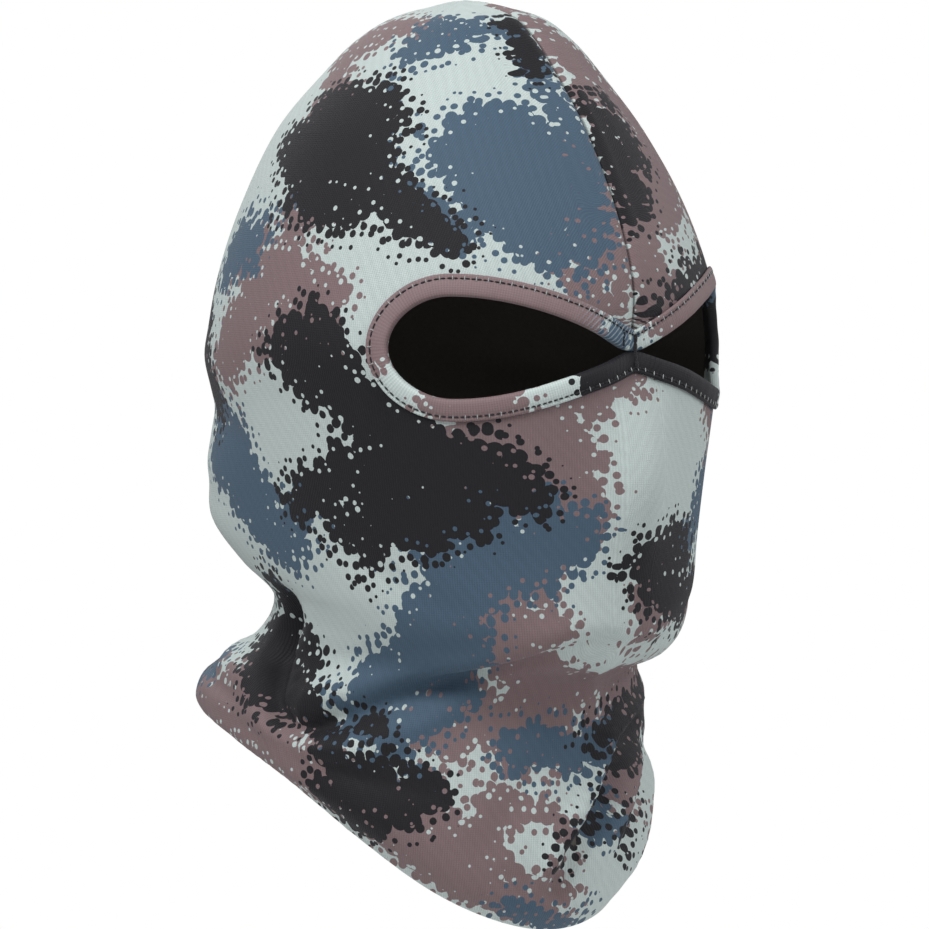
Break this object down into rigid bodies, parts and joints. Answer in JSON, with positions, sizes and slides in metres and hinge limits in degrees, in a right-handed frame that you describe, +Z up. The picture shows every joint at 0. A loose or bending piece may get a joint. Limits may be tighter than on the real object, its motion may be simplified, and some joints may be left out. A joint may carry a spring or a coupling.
{
  "type": "balaclava",
  "caption": "Close-fitting printed knit hood that covers the head, face and neck, with a bound eye opening pinched into two by a tack at the bridge.",
  "frame": {"origin": "where the crown of the wearer's head bears on the inside of the hood", "axes": "+Z up through the crown, -Y out of the face, +X to the wearer's left"},
  "size_m": [0.1698, 0.2029, 0.3189],
  "materials": {
    "printed_knit": "soft satin stretch knit with a dot-edged camouflage print outside and a dark inside",
    "binding_knit": "the same printed stretch knit, cut as a narrow folded strip",
    "black_thread": "matte spun thread",
    "inner_thread": "matte bulked thread"
  },
  "bodies": {
    "root": {"hood_panel": "printed_knit", "eye_binding": "binding_knit", "binding_topstitch": "black_thread", "binding_join_stitch": "black_thread", "bridge_tack": "black_thread", "crown_seam_overlock": "inner_thread", "hem_stitch": "inner_thread"}
  },
  "joints": []
}
